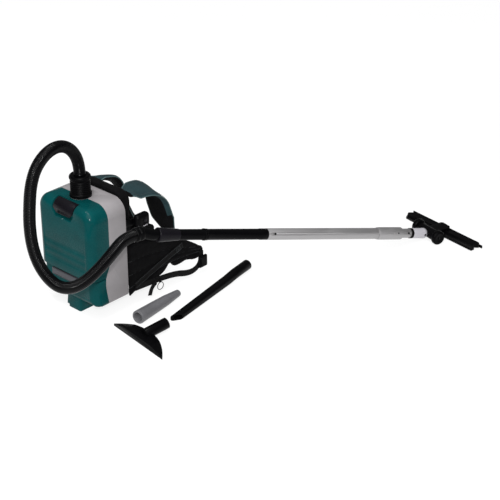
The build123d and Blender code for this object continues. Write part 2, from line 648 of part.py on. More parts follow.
with BuildPart() as inner_tube:
    add(tube_along(WAND, INNER_START, INNER_END - INNER_START, INNER_R, INNER_R - 1.2))
    with Locations(WAND.location * Location((INNER_R, 0, HEAD_BUTTON_AT), (0, 90, 0))):
        Cylinder(3.1, 8, mode=Mode.SUBTRACT)
finish(inner_tube, "inner_tube")

with BuildPart() as head_button:
    with Locations(WAND.location * Location((14.6, 0, HEAD_BUTTON_AT), (0, 90, 0))):
        Cylinder(3, 4)
finish(head_button, "head_button")

with BuildPart() as tube_seal:
    add(tube_along(WAND, 938, 9.8, 16.4, INNER_R))
finish(tube_seal, "tube_seal")

BALL_R = 17.0
PITCH_PIN_R = 4.0
with BuildPart() as ball_connector:
    add(turned(WAND, [(948, 12), (WAND_LENGTH - 2, 12), (WAND_LENGTH - 2, 16.2), (951, 16.2),
                      (948, 15.4)]))
    with Locations(BALL):
        Sphere(BALL_R)
    with Locations(WAND.location * Location((0, 0, 965))):
        Cylinder(12, 34, mode=Mode.SUBTRACT)
    with Locations(Plane(origin=BALL, z_dir=NECK_X).location):
        Cylinder(PITCH_PIN_R + RUN_FIT, 60, mode=Mode.SUBTRACT)
finish(ball_connector, "ball_connector")

# --------------------------------------------------------------------------- floor head
NECK_SIDE = side_plane(NECK)        # normal along the axle, x along the neck
TONGUE_Z = 22.6
with BuildPart() as neck_yoke:
    with BuildSketch(NECK_SIDE.offset(-39)):
        with Locations((0, WHEEL_R)):
            Circle(17)
    extrude(amount=78)
    with BuildSketch(NECK_SIDE.offset(-27)):
        with Locations((-WHEEL_REACH, BALL.Z)):
            Circle(13)
        with Locations((-WHEEL_REACH / 2, (BALL.Z + WHEEL_R) / 2)):
            Rectangle(WHEEL_REACH, 26)
    extrude(amount=8.5)
    with Locations(BALL):
        Sphere(BALL_R + 0.6, mode=Mode.SUBTRACT)
    with Locations(Plane(origin=BALL - NECK_X * 5, z_dir=NECK_X).location):
        Cylinder(PITCH_PIN_R, 42)
    with BuildSketch(NECK.offset(TONGUE_Z)):
        with Locations((0, (PIVOT_REACH + 15) / 2)):
            RectangleRounded(44, PIVOT_REACH + 15, 9)
    extrude(amount=6)
    with BuildSketch(NECK.offset(9)):
        with Locations((0, PIVOT_REACH)):
            Circle(8)
    extrude(amount=TONGUE_Z - 8)
    with Locations(Location(NECK_SIDE.location) * Location((0, WHEEL_R, 0))):
        Cylinder(3, 120, mode=Mode.SUBTRACT)
finish(neck_yoke, "neck_yoke")

AXLE = NECK_SIDE.location * Location((0, WHEEL_R, 0))
with BuildPart() as wheel_axle:
    with Locations(AXLE):
        Cylinder(3, 116)
finish(wheel_axle, "wheel_axle")

for side, name in ((-1, "left"), (1, "right")):
    with BuildPart() as head_wheel:
        with Locations(AXLE * Location((0, 0, side * 49))):
            Cylinder(WHEEL_R, 18)
        fillet(head_wheel.edges().filter_by(GeomType.CIRCLE), 6)
        with Locations(AXLE * Location((0, 0, side * 58))):
            Cylinder(12, 3, mode=Mode.SUBTRACT)
        with Locations(AXLE * Location((0, 0, side * 49))):
            Cylinder(3 + RUN_FIT, 40, mode=Mode.SUBTRACT)
    finish(head_wheel, f"head_wheel_{name}")

with BuildPart() as head_body:
    with BuildSketch(side_plane(HEAD).offset(-HEAD_LENGTH / 2)):
        with BuildLine():
            Polyline((-21, 3), (-21, 10), (-16, 14), (-13, 22), (13, 22), (16, 14), (21, 10),
                     (21, 3), close=True)
        make_face()
    extrude(amount=HEAD_LENGTH)
    with BuildSketch(HEAD):
        for end in (-1, 1):
            with BuildLine():
                Polyline((end * (HEAD_LENGTH / 2 + 1), -9), (end * (HEAD_LENGTH / 2 - 9), 2),
                         (end * (HEAD_LENGTH / 2 + 1), 13), close=True)
            make_face()
    extrude(amount=30, mode=Mode.SUBTRACT)
    with BuildSketch(HEAD):
        SlotOverall(252, 16)
    extrude(amount=10, mode=Mode.SUBTRACT)
    with BuildSketch(HEAD):
        Circle(8 + RUN_FIT)
    extrude(amount=25, mode=Mode.SUBTRACT)
finish(head_body, "head_body")

with BuildPart() as brush_strips:
    with BuildSketch(HEAD):
        with Locations((0, -17), (0, 15)):
            Rectangle(268, 3)
    extrude(amount=3)
finish(brush_strips, "brush_strips")

with BuildPart() as wiper_strip:
    with BuildSketch(HEAD):
        with Locations((0, 22.6)):
            RectangleRounded(304, 3.2, 1)
    extrude(amount=9)
finish(wiper_strip, "wiper_strip")

# ------------------------------------------------------------------------ loose nozzles
CREVICE = Plane(origin=(268, 95, 16), x_dir=(0.986, 0.166, 0), z_dir=(-0.166, 0.986, 0))
CREVICE_LENGTH = 385.0
SOCKET_R = 14.6
with BuildPart() as crevice_nozzle:
    with BuildSketch(CREVICE.offset(CREVICE_LENGTH - 70)):
        Circle(16)
    extrude(amount=70)
    with BuildSketch(CREVICE.offset(CREVICE_LENGTH - 70)):
        Circle(16)
    with BuildSketch(CREVICE.offset(CREVICE_LENGTH - 110)):
        with Locations((0, 3)):
            RectangleRounded(30, 26, 10)
    loft()
    with BuildSketch(CREVICE.offset(CREVICE_LENGTH - 110)):
        with Locations((0, 3)):
            RectangleRounded(30, 26, 10)
    with BuildSketch(CREVICE):
        with Locations((0, 6)):
            RectangleRounded(26, 20, 8)
    loft()
    with BuildSketch(CREVICE.offset(-10)):
        with Locations((0, 5.5)):
            RectangleRounded(20, 14, 5)
    extrude(amount=CREVICE_LENGTH - 50, mode=Mode.SUBTRACT)
    with BuildSketch(CREVICE.offset(CREVICE_LENGTH - 62)):
        Circle(SOCKET_R)
    extrude(amount=80, mode=Mode.SUBTRACT)
    bevel = Plane(origin=CREVICE.from_local_coords((0, 0, 14)), x_dir=CREVICE.y_dir,
                  z_dir=CREVICE.z_dir * 0.62 - CREVICE.x_dir * 0.78)
    split(bisect_by=bevel, keep=Keep.TOP)
finish(crevice_nozzle, "crevice_nozzle")

CONE_MOUTH, CONE_TIP = Vector(197, 20, 20.8), Vector(172, 208, 14.5)
CONE = Plane(origin=CONE_MOUTH, z_dir=CONE_TIP - CONE_MOUTH)
CONE_LENGTH = (CONE_TIP - CONE_MOUTH).length
with BuildPart() as cone_nozzle:
    add(turned(CONE, [(0, SOCKET_R), (40, SOCKET_R), (CONE_LENGTH, 7.6), (CONE_LENGTH, 10),
                      (CONE_LENGTH - 2, 10.6), (130, 15.9), (70, 18.3), (4, 20.5), (0, 20)]))
finish(cone_nozzle, "cone_nozzle")

FAN = Plane(origin=(271.5, -53, 0), x_dir=(0.9885, -0.1514, 0), z_dir=(0, 0, 1))
FAN_STEM = Plane(origin=FAN.from_local_coords((0, 26, 17)), x_dir=FAN.x_dir,
                 z_dir=FAN.y_dir + Vector(0, 0, 0.13))
with BuildPart() as upholstery_nozzle:
    with BuildSketch(FAN):
        with BuildLine():
            Line((-119, 0), (119, 0))
            ThreePointArc((119, 0), (0, 45), (-119, 0))
        make_face()
    extrude(amount=22)
    with BuildSketch(Plane(origin=FAN.origin, x_dir=FAN.x_dir, z_dir=-FAN.y_dir).offset(5)):
        with BuildLine():
            Polyline((-125, 6), (-60, 18), (60, 18), (125, 6), (125, 40), (-125, 40), close=True)
        make_face()
    extrude(amount=-60, mode=Mode.SUBTRACT)
    with BuildSketch(FAN_STEM):
        Circle(16.5)
    extrude(amount=76)
    with BuildSketch(FAN.offset(-1)):
        with Locations((0, 12)):
            SlotOverall(190, 9)
    extrude(amount=11, mode=Mode.SUBTRACT)
    with BuildSketch(FAN_STEM.offset(76 - 50)):
        Circle(SOCKET_R)
    extrude(amount=60, mode=Mode.SUBTRACT)
finish(upholstery_nozzle, "upholstery_nozzle")
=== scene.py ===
import json
import math

import bpy
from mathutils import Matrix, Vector, noise


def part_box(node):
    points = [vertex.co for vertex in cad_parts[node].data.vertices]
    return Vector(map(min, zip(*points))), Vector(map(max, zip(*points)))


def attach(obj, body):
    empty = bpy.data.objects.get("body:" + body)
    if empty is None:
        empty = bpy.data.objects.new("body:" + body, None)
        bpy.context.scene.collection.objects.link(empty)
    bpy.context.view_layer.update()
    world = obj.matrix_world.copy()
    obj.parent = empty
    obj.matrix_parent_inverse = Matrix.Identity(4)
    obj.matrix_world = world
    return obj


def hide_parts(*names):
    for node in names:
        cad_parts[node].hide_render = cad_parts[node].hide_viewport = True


# Backpack vacuum cleaner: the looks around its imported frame.  Metres, +Z up, the origin on
# the floor under the hose port, -Y the front of the unit and +Y the wearer's side.

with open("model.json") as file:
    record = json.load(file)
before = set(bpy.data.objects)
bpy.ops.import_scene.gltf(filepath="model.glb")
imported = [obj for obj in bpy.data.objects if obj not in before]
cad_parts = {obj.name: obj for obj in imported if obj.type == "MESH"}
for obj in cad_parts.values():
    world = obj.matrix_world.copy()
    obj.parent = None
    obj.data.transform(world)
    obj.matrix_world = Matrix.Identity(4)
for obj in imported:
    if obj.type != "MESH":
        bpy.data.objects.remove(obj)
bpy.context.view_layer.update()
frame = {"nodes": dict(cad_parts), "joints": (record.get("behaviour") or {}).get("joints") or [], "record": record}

MM = 0.001
nodes = frame["nodes"]
joints = {joint["name"]: joint for joint in frame["joints"]}


def mm(*values):
    """A vector given in millimetres."""
    return Vector(values) * MM


# --------------------------------------------------------------------------- driving sizes
# plain (y, z) pairs, COLLAR_CATCH_AT and STRAP_ROOT are in millimetres; the strap's two rolls
# and the camera's angles are in degrees
HOSE_ROUTE = [
    mm(0, 0, 419), mm(0, 0, 455), mm(4, -26, 504), mm(11, -70, 534), mm(20, -125, 537),
    mm(29, -176, 511), mm(34, -203, 466), mm(36, -214, 412), mm(38, -221, 354),
    mm(45, -223, 295), mm(64, -222, 245), mm(97, -219, 210), mm(140, -214, 193),
    mm(183, -200, 202), mm(210, -172, 226), mm(222, -128, 257), mm(219, -80, 281),
    mm(212.8, -33.5, 301.4), Vector(joints["hose_end_swivel"]["pos_m"]),
]
HOSE_D = 35 * MM
WAND_DIR = Vector(joints["telescope"]["axis"])
WAND_FACE = -Vector(joints["tube_button_press"]["axis"])
GRIP = Vector(joints["suction_ring_turn"]["pos_m"])
COLLAR_CATCH_AT = 879
STRAP_X = 75 * MM
STRAP_ROUTES = {
    "right": [(114, 345), (158, 346), (194, 331), (218, 300), (232, 262), (247, 216), (270, 168)],
    "left": [(114, 343), (158, 333), (190, 316), (210, 288), (222, 254), (236, 212), (262, 168)],
}
STRAP_ROOT = 7
COVER_SHARE = 0.74
STRAP_STEP = 4 * MM
STRAP_SEAM = 0.8
STRAP_ROLL = 42
STRAP_ROOT_ROLL = 21
STRAP_HALF = 34 * MM
STRAP_THICK = 16 * MM
SIDES = (("left", -1), ("right", 1))
WING_FACE = 114 * MM
WING_SEAMS = (
    [(70, 62), (130, 72), (200, 84), (260, 84), (320, 78), (368, 72)],
    [(70, 104), (140, 106), (210, 104), (280, 98), (330, 90), (366, 80)],
    [(70, 148), (140, 146), (200, 136), (250, 124), (300, 108), (345, 94)],
)
WING_MIDDLE = 106 * MM
PAD_SEAMS = (100 * MM, 160 * MM, 220 * MM, 280 * MM)
PAD_FRONT = 102 * MM
PAD_CHANNEL = 5 * MM
WING_PINCH = 0.42
SEAM_SPREAD = 6 * MM
BELT_X = 115.9 * MM
BELT_RUNS = {
    "sewn": [(90, 66), (134, 80), (199, 101), (285, 126)],
    "loop": [(90, 58), (160, 53), (250, 42), (308, 20), (345, 23), (364, 46), (363, 74)],
}
BELT_TAIL = [(170, 46), (158, 40), (148, 28), (143, 12)]
BELT_BOX = [(262, 109), (278, 115), (273, 128), (257, 122)]
BELT_WIDTH = 20 * MM
BELT_THICK = 2.4 * MM
CUFF_TEETH = 28
HEAD_YAW = math.radians(-8.4)
TUFT_RUN = 264 * MM
TUFT_ROWS = (-17 * MM, 15 * MM)
TUFTS_PER_ROW = 74
UPRIGHT = Vector((0, 0, 1))
CAMERA_PLACE = (2.959, -2.500, 2.202)
CAMERA_DIP = 27.78
CAMERA_TURN = 42.68
# each softbox: name, place, point it aims at, width and height, watts
SOFTBOXES = (
    ("overhead", (0.0, -0.35, 1.9), (0.0, 0.0, 0.3), (0.9, 0.12), 16),
    ("glint", (1.55, -1.35, 1.35), (0.05, 0.0, 0.25), (0.08, 0.1), 30),
)


# --------------------------------------------------------------------------- node shaders
# the Scale of a wave texture whose bands repeat once a metre
WAVE_SCALE = 0.314


class Shade:
    """One procedural material; its helpers return sockets that plug into each other."""

    def __init__(self, name, roughness, **sockets):
        self.material = bpy.data.materials.new(name)
        self.material.use_nodes = True
        self.tree = self.material.node_tree
        self.surface = self.tree.nodes["Principled BSDF"]
        self.surface.inputs["Roughness"].default_value = roughness
        for socket, value in sockets.items():
            self.surface.inputs[socket.replace("_", " ")].default_value = value
        self.place = self.add("ShaderNodeTexCoord").outputs["Object"]
        self.normal = None

    def add(self, kind, links=None, values=None, **settings):
        node = self.tree.nodes.new(kind)
        for key, value in settings.items():
            setattr(node, key, value)
        for socket, value in (values or {}).items():
            node.inputs[socket].default_value = value
        for socket, source in (links or {}).items():
            self.tree.links.new(source, node.inputs[socket])
        return node

    def on_uv(self):
        """The pattern follows the piece's own UV map, in metres."""
        self.place = self.add("ShaderNodeTexCoord").outputs["UV"]

    def along(self, axis, across, stretch):
        """Coordinates that run slowly along an axis, for drawn or brushed metal."""
        third = axis.cross(across)
        parts = []
        for direction, scale in ((axis, stretch), (across, 1.0), (third, 1.0)):
            dot = self.add("ShaderNodeVectorMath", {0: self.place}, operation="DOT_PRODUCT")
            dot.inputs[1].default_value = direction * scale
            parts.append(dot.outputs["Value"])
        joined = self.add("ShaderNodeCombineXYZ", {0: parts[0], 1: parts[1], 2: parts[2]})
        self.place = joined.outputs[0]

    def noise(self, size, detail=2.0, rough=0.5):
        """Noise whose blotches are about size metres across."""
        values = {"Scale": 1 / size, "Detail": detail, "Roughness": rough}
        return self.add("ShaderNodeTexNoise", {"Vector": self.place}, values).outputs["Fac"]

    def cells(self, size):
        values = {"Scale": 1 / size, "Randomness": 0.35}
        node = self.add("ShaderNodeTexVoronoi", {"Vector": self.place}, values, feature="F1")
        return node.outputs["Distance"]

    def stripes(self, pitch, direction):
        node = self.add("ShaderNodeTexWave", {"Vector": self.place},
                        {"Scale": WAVE_SCALE / pitch, "Distortion": 0.0},
                        bands_direction=direction)
        return node.outputs["Fac"]

    def product(self, a, b):
        return self.add("ShaderNodeMath", {0: a, 1: b}, operation="MULTIPLY").outputs[0]

    def ramp(self, factor, low, high, start=0.3, end=0.7):
        node = self.add("ShaderNodeMapRange", {"Value": factor})
        for socket, value in (("From Min", start), ("From Max", end), ("To Min", low),
                              ("To Max", high)):
            node.inputs[socket].default_value = value
        return node.outputs["Result"]

    def blend(self, factor, first, second):
        """A colour that runs from first to second; each is a colour or a socket."""
        node = self.add("ShaderNodeMix", {"Factor": factor}, data_type="RGBA")
        for socket, value in ((node.inputs[6], first), (node.inputs[7], second)):
            if isinstance(value, tuple):
                socket.default_value = (*value, 1.0)
            else:
                self.tree.links.new(value, socket)
        return node.outputs[2]

    def color(self, source):
        self.tree.links.new(source, self.surface.inputs["Base Color"])

    def rough(self, source):
        self.tree.links.new(source, self.surface.inputs["Roughness"])

    def bump(self, height, depth, strength=0.6):
        """Relief of about depth metres, on top of any relief made before."""
        links = {"Height": height}
        if self.normal:
            links["Normal"] = self.normal
        node = self.add("ShaderNodeBump", links, {"Strength": strength, "Distance": depth})
        self.normal = node.outputs["Normal"]
        self.tree.links.new(self.normal, self.surface.inputs["Normal"])


def tinted(color, factor):
    return tuple(channel * factor for channel in color)


def moulding(name, color, roughness, grain, coat=0.0, wear=0.25, mottle=0.12, shine=0.5):
    """Injection-moulded plastic: fine grain, faint flow marks and handling scuffs."""
    shade = Shade(name, roughness, Coat_Weight=coat, Coat_Roughness=0.08,
                  Specular_IOR_Level=shine)
    flow = shade.noise(45 * MM, 3)
    base = shade.blend(shade.ramp(flow, 0, 1), tinted(color, 1 - mottle),
                       tinted(color, 1 + mottle))
    scuffs = shade.ramp(shade.noise(7 * MM, 6, 0.7), 0, wear, 0.6, 0.75)
    paler = tuple(channel * 0.95 + 0.0016 for channel in color)
    shade.color(shade.blend(scuffs, base, paler))
    shade.rough(shade.ramp(shade.noise(4 * MM, 4), roughness * 0.85, roughness * 1.2))
    shade.bump(shade.noise(grain, 2), grain * 0.12, 0.35)
    return shade.material


def drawn_metal(name, color, roughness):
    """Drawn tube: fine streaks along its length under clear anodising."""
    shade = Shade(name, roughness, Metallic=0.8, Anisotropic=0.3)
    shade.along(WAND_DIR, WAND_FACE, 0.02)
    streaks = shade.noise(0.7 * MM, 5, 0.65)
    shade.color(shade.blend(shade.ramp(streaks, 0, 1), tinted(color, 0.92), color))
    shade.rough(shade.ramp(streaks, roughness * 0.9, roughness * 1.15))
    shade.bump(streaks, 0.02 * MM, 0.3)
    return shade.material


def turned_metal(name, color, roughness, pitch):
    """Machined metal with turning rings and a dull patina."""
    shade = Shade(name, roughness, Metallic=1.0)
    rings = shade.stripes(pitch, "Z")
    patina = shade.noise(3 * MM, 4)
    shade.color(shade.blend(shade.ramp(patina, 0, 1), tinted(color, 0.72), color))
    shade.rough(shade.ramp(patina, roughness * 0.7, roughness * 1.4))
    shade.bump(rings, 0.05 * MM, 0.3)
    return shade.material


def spacer_mesh(name, color, pitch):
    """Knitted spacer fabric: small round holes over a darker ground."""
    shade = Shade(name, 0.85, Sheen_Weight=0.01, Sheen_Roughness=0.5, Specular_IOR_Level=0.05)
    holes = shade.cells(pitch)
    worn = shade.ramp(shade.noise(22 * MM, 4, 0.65), 0.65, 1.5)
    thread = shade.blend(shade.ramp(holes, 0, 1, 0.22, 0.5), tinted(color, 0.3), color)
    tone = shade.add("ShaderNodeMix", {6: thread}, data_type="RGBA", blend_type="MULTIPLY")
    tone.inputs["Factor"].default_value = 1.0
    shade.tree.links.new(worn, tone.inputs[7])
    shade.color(tone.outputs[2])
    shade.bump(holes, 0.7 * MM, 0.7)
    shade.bump(shade.noise(9 * MM, 3), 1.2 * MM, 0.35)
    return shade.material


def woven(name, color, pitch, roughness=0.8, sheen=0.35, accent=0.55):
    """Plain weave that follows the piece's UV map."""
    shade = Shade(name, roughness, Sheen_Weight=sheen, Sheen_Roughness=0.45,
                  Specular_IOR_Level=0.08)
    cloudy = shade.noise(30 * MM, 4)
    shade.on_uv()
    warp = shade.stripes(pitch, "X")
    weft = shade.stripes(pitch * 1.3, "Y")
    weave = shade.product(warp, weft)
    base = shade.blend(shade.ramp(weave, 0, 1, 0.0, 0.8), tinted(color, accent), color)
    shade.color(shade.blend(shade.ramp(cloudy, 0, 0.35, 0.4, 0.8), base, tinted(color, 1.3)))
    shade.bump(weave, pitch * 0.35, 0.7)
    return shade.material


def rubbery(name, color, roughness=0.65):
    """Dull, slightly dusty rubber; also thread and piping."""
    shade = Shade(name, roughness, Specular_IOR_Level=0.08)
    dusty = shade.ramp(shade.noise(12 * MM, 5, 0.6), 0, 0.4, 0.5, 0.8)
    shade.color(shade.blend(dusty, color, tuple(channel + 0.0012 for channel in color)))
    shade.bump(shade.noise(0.5 * MM, 2), 0.08 * MM, 0.4)
    return shade.material


def fleece(name, color):
    """Matted fibres of the dust bag, with a faint stain."""
    shade = Shade(name, 0.95, Sheen_Weight=0.2)
    fibres = shade.noise(1.4 * MM, 8, 0.8)
    stain = shade.ramp(shade.noise(60 * MM, 3), 0, 0.5, 0.45, 0.8)
    base = shade.blend(shade.ramp(fibres, 0, 1), tinted(color, 0.75), color)
    shade.color(shade.blend(stain, base, tinted(color, 0.6)))
    shade.bump(fibres, 0.5 * MM, 0.6)
    return shade.material


def pleated(name, color):
    """Filter paper in narrow folds, with painted shade that darkens the valley of each fold."""
    shade = Shade(name, 0.9)
    folds = shade.stripes(3 * MM, "X")
    # painted shade: the paper's colour drops to 45 % in the fold valleys, where the bump sinks
    shade.color(shade.blend(folds, tinted(color, 0.45), color))
    shade.bump(folds, 1.2 * MM, 0.8)
    return shade.material


def laminated(name, color):
    """Stacked motor laminations with dark varnish between the sheets."""
    shade = Shade(name, 0.4, Metallic=0.9)
    sheets = shade.stripes(1.0 * MM, "Z")
    shade.color(shade.blend(sheets, tinted(color, 0.35), color))
    shade.bump(sheets, 0.15 * MM, 0.5)
    return shade.material


def lacquered_board(name, color):
    """Circuit board: tracks under green lacquer."""
    shade = Shade(name, 0.3, Coat_Weight=0.4)
    tracks = shade.add("ShaderNodeTexBrick", {"Vector": shade.place},
                       {"Scale": 90.0, "Mortar Size": 0.06})
    shade.color(shade.blend(tracks.outputs["Fac"], color, (0.35, 0.26, 0.07)))
    shade.bump(tracks.outputs["Fac"], 0.1 * MM, 0.4)
    return shade.material


TEAL = (0.0014, 0.047, 0.049)
SHELL_GREY = (0.222, 0.211, 0.217)
BLACK = (0.0014, 0.0014, 0.0017)
FINISHES = {
    "teal_shell": moulding("teal_gloss", TEAL, 0.27, 0.9 * MM, coat=0.06, wear=0.04, shine=0.03),
    "grey_shell": moulding("grey_satin", SHELL_GREY, 0.42, 0.5 * MM, wear=0.1, mottle=0.04,
                           shine=0.25),
    "black_plastic": moulding("black_satin", BLACK, 0.33, 0.5 * MM, shine=0.05),
    "dark_plastic": moulding("graphite", (0.0052, 0.0046, 0.0065), 0.3, 0.4 * MM, shine=0.09),
    "light_plastic": moulding("pale_grey", (0.40, 0.39, 0.42), 0.35, 0.5 * MM, mottle=0.03),
    "grey_plastic": moulding("mid_grey", (0.115, 0.115, 0.123), 0.38, 0.5 * MM, shine=0.3),
    "hose_plastic": moulding("hose_black", (0.0012, 0.0012, 0.0015), 0.2, 1.2 * MM, shine=0.09),
    "tube_metal": drawn_metal("anodised_tube", (0.40, 0.392, 0.398), 0.5),
    "steel": turned_metal("turned_steel", (0.5, 0.5, 0.52), 0.3, 0.8 * MM),
    "motor_metal": laminated("lamination", (0.42, 0.42, 0.44)),
    "soft_rubber": rubbery("rubber_black", (0.0018, 0.0018, 0.0018)),
    "pad_fabric": spacer_mesh("spacer_mesh", (0.0026, 0.0025, 0.0029), 2.6 * MM),
    "strap_fabric": woven("strap_cover", (0.020, 0.044, 0.050), 0.9 * MM, sheen=0.03),
    "webbing": woven("webbing_black", (0.0030, 0.0028, 0.0033), 1.3 * MM, 0.7, 0.02, 0.35),
    "bag_fleece": fleece("bag_fleece", (0.62, 0.60, 0.55)),
    "filter_paper": pleated("filter_paper", (0.80, 0.80, 0.77)),
    "board_green": lacquered_board("board_green", (0.01, 0.12, 0.04)),
}
# a few nodes are darker than the rest of their material slot
SPECIAL = {
    "exhaust_grille": moulding("grille_grey", (0.055, 0.056, 0.064), 0.45, 0.5 * MM, shine=0.2),
    **dict.fromkeys(("wheel_axle", "tube_button", "head_button", "key_ring"),
                    turned_metal("blackened_steel", (0.02, 0.02, 0.021), 0.4, 0.8 * MM)),
}
THREAD = rubbery("sewing_thread", (0.05, 0.055, 0.058), 0.6)
PIPING = rubbery("strap_piping", (0.055, 0.09, 0.092), 0.55)


def dress_cad_nodes():
    """Gives every CAD node the finish of its material slot, and eases its hard edges."""
    for entry in frame["record"]["subparts"]:
        node = nodes[entry["node"]]
        node.data.materials.clear()
        finish = SPECIAL.get(entry["node"], FINISHES[entry["material_slot"]])
        node.data.materials.append(finish)
        weld = node.modifiers.new("weld", "WELD")
        weld.merge_threshold = 0.01 * MM
        ease = node.modifiers.new("ease", "BEVEL")
        ease.width = 0.6 * MM
        ease.segments = 2
        ease.limit_method = "ANGLE"
        ease.angle_limit = math.radians(40)
        ease.harden_normals = True
        for face in node.data.polygons:
            face.use_smooth = True


# --------------------------------------------------------------------------- mesh building
def new_piece(name, points, faces, materials, body, uvs=None):
    """A smooth mesh object in the row frame that rides on a body."""
    mesh = bpy.data.meshes.new(name)
    mesh.from_pydata([tuple(p) for p in points], [], faces)
    mesh.validate()
    for material in materials:
        mesh.materials.append(material)
    for face in mesh.polygons:
        face.use_smooth = True
    if uvs:
        layer = mesh.uv_layers.new(name="UVMap")
        for loop in mesh.loops:
            layer.data[loop.index].uv = uvs[loop.vertex_index]
    piece = bpy.data.objects.new(name, mesh)
    bpy.context.scene.collection.objects.link(piece)
    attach(piece, body)
    return piece


def corners_of(node_name):
    """A node's lowest and highest corners at rest."""
    low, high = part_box(node_name)
    return Vector(low), Vector(high)


def smooth_line(points):
    """Points read from the NURBS spline that has the given points as its controls."""
    data = bpy.data.curves.new("route", "CURVE")
    data.dimensions = "3D"
    spline = data.splines.new("NURBS")
    spline.points.add(len(points) - 1)
    for control, point in zip(spline.points, points):
        control.co = (*point, 1.0)
    spline.order_u = 3
    spline.use_endpoint_u = True
    spline.resolution_u = 16
    holder = bpy.data.objects.new("route", data)
    line = bpy.data.meshes.new_from_object(holder)
    found = [vertex.co.copy() for vertex in line.vertices]
    bpy.data.meshes.remove(line)
    bpy.data.objects.remove(holder)
    bpy.data.curves.remove(data)
    return found


def even_steps(line, step):
    """The line walked in equal steps of about the given length."""
    total = sum((b - a).length for a, b in zip(line, line[1:]))
    count = max(2, round(total / step))
    stride = total / count
    walked, found = 0.0, [line[0].copy()]
    for a, b in zip(line, line[1:]):
        span = (b - a).length
        while len(found) <= count and walked + span >= stride * len(found) - 1e-9:
            share = (stride * len(found) - walked) / span
            found.append(a.lerp(b, min(1.0, share)))
        walked += span
    return found


def carried_frames(line, first_side):
    """Side and up directions at each point of a line, carried along it without twist."""
    frames = []
    side = first_side
    for index, point in enumerate(line):
        ahead = line[min(index + 1, len(line) - 1)] - line[max(index - 1, 0)]
        forward = ahead.normalized()
        side = (side - forward * side.dot(forward)).normalized()
        frames.append((point, side, forward.cross(side)))
    return frames


def lofted(name, rings, materials, body, closed_ends=True, uvs=None, face_material=None):
    """A skin over rings of points that all have the same count."""
    count = len(rings[0])
    points = [point for ring in rings for point in ring]
    faces = []
    for r in range(len(rings) - 1):
        for k in range(count):
            following = (k + 1) % count
            faces.append((r * count + k, r * count + following,
                          (r + 1) * count + following, (r + 1) * count + k))
    if closed_ends:
        faces.append(tuple(reversed(range(count))))
        faces.append(tuple((len(rings) - 1) * count + k for k in range(count)))
    piece = new_piece(name, points, faces, materials, body, uvs)
    if face_material:
        for face in piece.data.polygons:
            face.material_index = face_material(face.index % count, face.index // count)
    return piece


def circle_ring(place, radius, segments):
    """A circle of points round a place: its centre and its side and up directions."""
    point, side, up = place
    turns = [2 * math.pi * k / segments for k in range(segments)]
    return [point + side * (math.cos(t) * radius) + up * (math.sin(t) * radius) for t in turns]


def bead(name, line, radius, material, body):
    """A thin round edging, such as piping, along a line."""
    side = Vector((0.3, 0.9, 0.31)).normalized()
    rings = [circle_ring(place, radius, 8) for place in carried_frames(line, side)]
    return lofted(name, rings, [material], body)


# ------------------------------------------------------------------------------------ hose
RIB_PITCH = 4.4 * MM
RIB_PROFILE = (0.945, 0.955, 0.99, 1.0, 0.99, 0.955)


def make_hose():
    """The ribbed hose, a mesh tube along the route's spline."""
    line = smooth_line(HOSE_ROUTE)
    centres = even_steps(line, RIB_PITCH / len(RIB_PROFILE))
    rings = []
    for index, place in enumerate(carried_frames(centres, Vector((1, 0, 0)))):
        share = RIB_PROFILE[index % len(RIB_PROFILE)]
        rings.append(circle_ring(place, share * HOSE_D / 2, 40))
    hose = lofted("ribbed_hose", rings, [FINISHES["hose_plastic"]], "hose_set")
    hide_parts("hose")


# --------------------------------------------------------------------------------- harness
def strap_line(name, side):
    """The strap's centreline, from a root sewn into the face of the back pad."""
    first_y, first_z = STRAP_ROUTES[name][0]
    route = [(first_y - STRAP_ROOT, first_z), *STRAP_ROUTES[name][1:]]
    return even_steps(smooth_line([Vector((side * STRAP_X, y * MM, z * MM)) for y, z in route]),
                      STRAP_STEP)


def strap_section(turn):
    """Crowned strap section: (across, thickness) shares, pinched at the two seams."""
    across, rise = math.cos(turn), math.sin(turn)
    pinch = (1 - abs(across) ** 5) ** 0.5
    return across, math.copysign(abs(rise) ** 0.6, rise) * pinch


def eased(value, low, high):
    """A smooth step from 0 at low to 1 at high."""
    share = min(1.0, max(0.0, (value - low) / (high - low)))
    return share * share * (3 - 2 * share)


def strap_places(name, side):
    """Centre, across and outer direction along a strap, rolled outwards where it descends."""
    line = strap_line(name, side)
    places = []
    for index, (point, across, up) in enumerate(carried_frames(line, Vector((1, 0, 0)))):
        share = index / (len(line) - 1)
        outer = -up
        roll = side * math.radians(STRAP_ROLL * eased(share, 0.22, 0.62)
                                   - STRAP_ROOT_ROLL * eased(share, 0.0, 0.1))
        places.append((point, across * math.cos(roll) + outer * math.sin(roll),
                       outer * math.cos(roll) - across * math.sin(roll), share))
    return places


def strap_half_width(share):
    """Narrower where it is sewn in and at its tip."""
    return STRAP_HALF * min(1.06, 0.8 + 2.6 * share, 0.56 + 2.4 * (1 - share))


